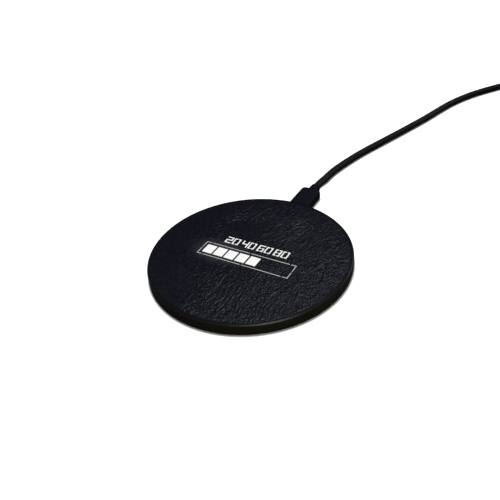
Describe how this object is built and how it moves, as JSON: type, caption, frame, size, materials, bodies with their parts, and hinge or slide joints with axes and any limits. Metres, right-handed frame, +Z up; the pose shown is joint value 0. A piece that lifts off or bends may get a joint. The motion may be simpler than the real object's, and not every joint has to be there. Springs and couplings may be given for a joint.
{
  "type": "wireless charging pad",
  "caption": "Round low wireless charging pad with a leather-covered top, a lit level display, rubber feet and a pull-out charging cable with a plug at each end.",
  "frame": {"origin": "on the table under the middle of the round pad", "axes": "+Z up through the pad, +Y towards the side with the charging port, +X to the right seen from the front of the display"},
  "size_m": [0.1871, 0.329, 0.0089],
  "materials": {
    "rim": "satin black anodised aluminium with a warm cast",
    "housing_plastic": "fine matte texture, black",
    "skin_leather": "black crinkled leather grain, semi-matte",
    "lit_marks": "translucent white, lit from behind",
    "clear_plastic": "clear moulded acrylic",
    "white_plastic": "white, slightly glossy",
    "circuit_board": "green solder mask",
    "foot_rubber": "matte black silicone",
    "steel": "bright nickel-plated steel",
    "adhesive": "pale double-sided tape",
    "ferrite": "dark grey sintered ferrite",
    "copper": "enamelled copper wire",
    "chip_black": "moulded black epoxy",
    "capacitor_ceramic": "tan ceramic",
    "plug_moulding": "satin black moulded elastomer",
    "cord_jacket": "satin black cable jacket",
    "tie_strap": "matte black strap",
    "gold_contact": "gold-plated contact"
  },
  "bodies": {
    "pad": {"rim_frame": "rim", "top_plate": "housing_plastic", "bottom_cover": "housing_plastic", "leather_cover": "skin_leather", "display_lens": "lit_marks", "light_guide": "clear_plastic", "reflector_film": "white_plastic", "led_board": "circuit_board", "led_1": "white_plastic", "led_2": "white_plastic", "led_3": "white_plastic", "led_4": "white_plastic", "foot_1": "foot_rubber", "foot_2": "foot_rubber", "foot_3": "foot_rubber", "foot_4": "foot_rubber", "cover_screw_1": "steel", "cover_screw_2": "steel", "cover_screw_3": "steel", "cover_screw_4": "steel", "coil_adhesive": "adhesive", "ferrite_shield": "ferrite", "transmitter_coil": "copper", "coil_lead_1": "copper", "coil_lead_2": "copper", "main_board": "circuit_board", "filter_inductor": "chip_black", "power_stage_chip": "chip_black", "controller_chip": "chip_black", "resonance_capacitor_1": "capacitor_ceramic", "resonance_capacitor_2": "capacitor_ceramic", "resonance_capacitor_3": "capacitor_ceramic", "resonance_capacitor_4": "capacitor_ceramic", "port_shell": "steel", "port_tongue": "chip_black"},
    "cable": {"plug_overmould": "plug_moulding", "plug_strain_relief": "plug_moulding", "plug_shell": "steel", "plug_insert": "chip_black", "cord": "cord_jacket", "cord_coil": "cord_jacket", "cord_tail": "cord_jacket", "cable_tie": "tie_strap", "far_plug_strain_relief": "plug_moulding", "far_plug_overmould": "plug_moulding", "far_plug_shell": "steel", "far_plug_insulator": "white_plastic", "far_plug_contact_1": "gold_contact", "far_plug_contact_2": "gold_contact", "far_plug_contact_3": "gold_contact", "far_plug_contact_4": "gold_contact"}
  },
  "joints": [
    {"name": "plug_pull", "type": "slide", "parent": "pad", "child": "cable", "axis": [0, 1, 0], "range_m": [0, 0.012]}
  ]
}
